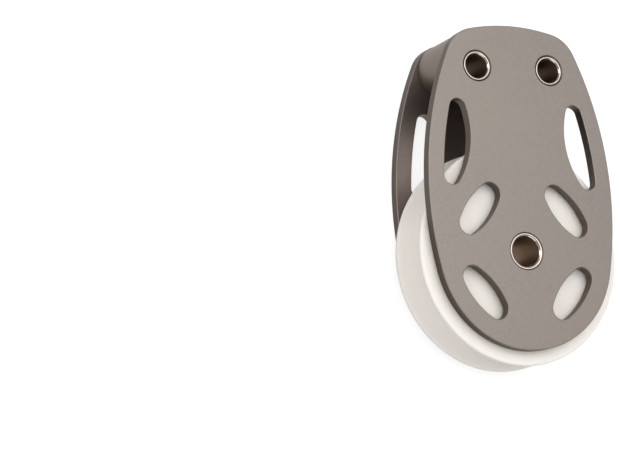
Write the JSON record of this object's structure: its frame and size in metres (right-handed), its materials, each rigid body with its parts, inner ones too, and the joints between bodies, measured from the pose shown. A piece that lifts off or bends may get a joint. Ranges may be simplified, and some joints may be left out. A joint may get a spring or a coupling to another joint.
{
  "type": "foot block",
  "caption": "Flat deck-mounted foot block: perforated cheek plates and a head spacer held by tubular bolt bushes, round a grooved white sheave that turns on rollers.",
  "frame": {"origin": "where the axle's axis meets the deck face of the base plate", "axes": "+Z out of the deck along the axle, +Y from the axle towards the head of the block, +X to the right seen from above"},
  "size_m": [0.08, 0.1221, 0.0285],
  "materials": {
    "anodised_aluminium": "satin anodised",
    "stainless_steel": "turned and polished",
    "white_acetal": "turned, satin",
    "washer_plastic": "cut sheet",
    "cage_plastic": "moulded",
    "roller_plastic": "ground"
  },
  "bodies": {
    "cheeks": {"top_plate": "anodised_aluminium", "base_plate": "anodised_aluminium", "head_spacer": "anodised_aluminium", "head_bush_left": "stainless_steel", "head_bush_right": "stainless_steel", "axle_bush": "stainless_steel", "axle_sleeve": "stainless_steel", "thrust_washer_top": "washer_plastic", "thrust_washer_base": "washer_plastic"},
    "sheave": {"sheave": "white_acetal"},
    "cage": {"roller_cage": "cage_plastic"},
    "roller_01": {"roller_01": "roller_plastic"},
    "roller_02": {"roller_02": "roller_plastic"},
    "roller_03": {"roller_03": "roller_plastic"},
    "roller_04": {"roller_04": "roller_plastic"},
    "roller_05": {"roller_05": "roller_plastic"},
    "roller_06": {"roller_06": "roller_plastic"},
    "roller_07": {"roller_07": "roller_plastic"},
    "roller_08": {"roller_08": "roller_plastic"},
    "roller_09": {"roller_09": "roller_plastic"},
    "roller_10": {"roller_10": "roller_plastic"}
  },
  "joints": [
    {"name": "sheave_spin", "type": "hinge", "parent": "cheeks", "child": "sheave", "pos_m": [0, 0, 0.01425], "axis": [0, 0, 1], "continuous": true},
    {"name": "cage_spin", "type": "hinge", "parent": "cheeks", "child": "cage", "pos_m": [0, 0, 0.01425], "axis": [0, 0, 1], "continuous": true},
    {"name": "roller_01_spin", "type": "hinge", "parent": "cage", "child": "roller_01", "pos_m": [0.01027, 0.00334, 0.01425], "axis": [0, 0, 1], "continuous": true},
    {"name": "roller_02_spin", "type": "hinge", "parent": "cage", "child": "roller_02", "pos_m": [0.00635, 0.00874, 0.01425], "axis": [0, 0, 1], "continuous": true},
    {"name": "roller_03_spin", "type": "hinge", "parent": "cage", "child": "roller_03", "pos_m": [0, 0.0108, 0.01425], "axis": [0, 0, 1], "continuous": true},
    {"name": "roller_04_spin", "type": "hinge", "parent": "cage", "child": "roller_04", "pos_m": [-0.00635, 0.00874, 0.01425], "axis": [0, 0, 1], "continuous": true},
    {"name": "roller_05_spin", "type": "hinge", "parent": "cage", "child": "roller_05", "pos_m": [-0.01027, 0.00334, 0.01425], "axis": [0, 0, 1], "continuous": true},
    {"name": "roller_06_spin", "type": "hinge", "parent": "cage", "child": "roller_06", "pos_m": [-0.01027, -0.00334, 0.01425], "axis": [0, 0, 1], "continuous": true},
    {"name": "roller_07_spin", "type": "hinge", "parent": "cage", "child": "roller_07", "pos_m": [-0.00635, -0.00874, 0.01425], "axis": [0, 0, 1], "continuous": true},
    {"name": "roller_08_spin", "type": "hinge", "parent": "cage", "child": "roller_08", "pos_m": [0, -0.0108, 0.01425], "axis": [0, 0, 1], "continuous": true},
    {"name": "roller_09_spin", "type": "hinge", "parent": "cage", "child": "roller_09", "pos_m": [0.00635, -0.00874, 0.01425], "axis": [0, 0, 1], "continuous": true},
    {"name": "roller_10_spin", "type": "hinge", "parent": "cage", "child": "roller_10", "pos_m": [0.01027, -0.00334, 0.01425], "axis": [0, 0, 1], "continuous": true}
  ],
  "couplings": [
    {"joint": "cage_spin", "follows": "sheave_spin", "ratio": 0.60648},
    {"joint": "roller_01_spin", "follows": "sheave_spin", "ratio": 2.2912},
    {"joint": "roller_02_spin", "follows": "sheave_spin", "ratio": 2.2912},
    {"joint": "roller_03_spin", "follows": "sheave_spin", "ratio": 2.2912},
    {"joint": "roller_04_spin", "follows": "sheave_spin", "ratio": 2.2912},
    {"joint": "roller_05_spin", "follows": "sheave_spin", "ratio": 2.2912},
    {"joint": "roller_06_spin", "follows": "sheave_spin", "ratio": 2.2912},
    {"joint": "roller_07_spin", "follows": "sheave_spin", "ratio": 2.2912},
    {"joint": "roller_08_spin", "follows": "sheave_spin", "ratio": 2.2912},
    {"joint": "roller_09_spin", "follows": "sheave_spin", "ratio": 2.2912},
    {"joint": "roller_10_spin", "follows": "sheave_spin", "ratio": 2.2912}
  ]
}
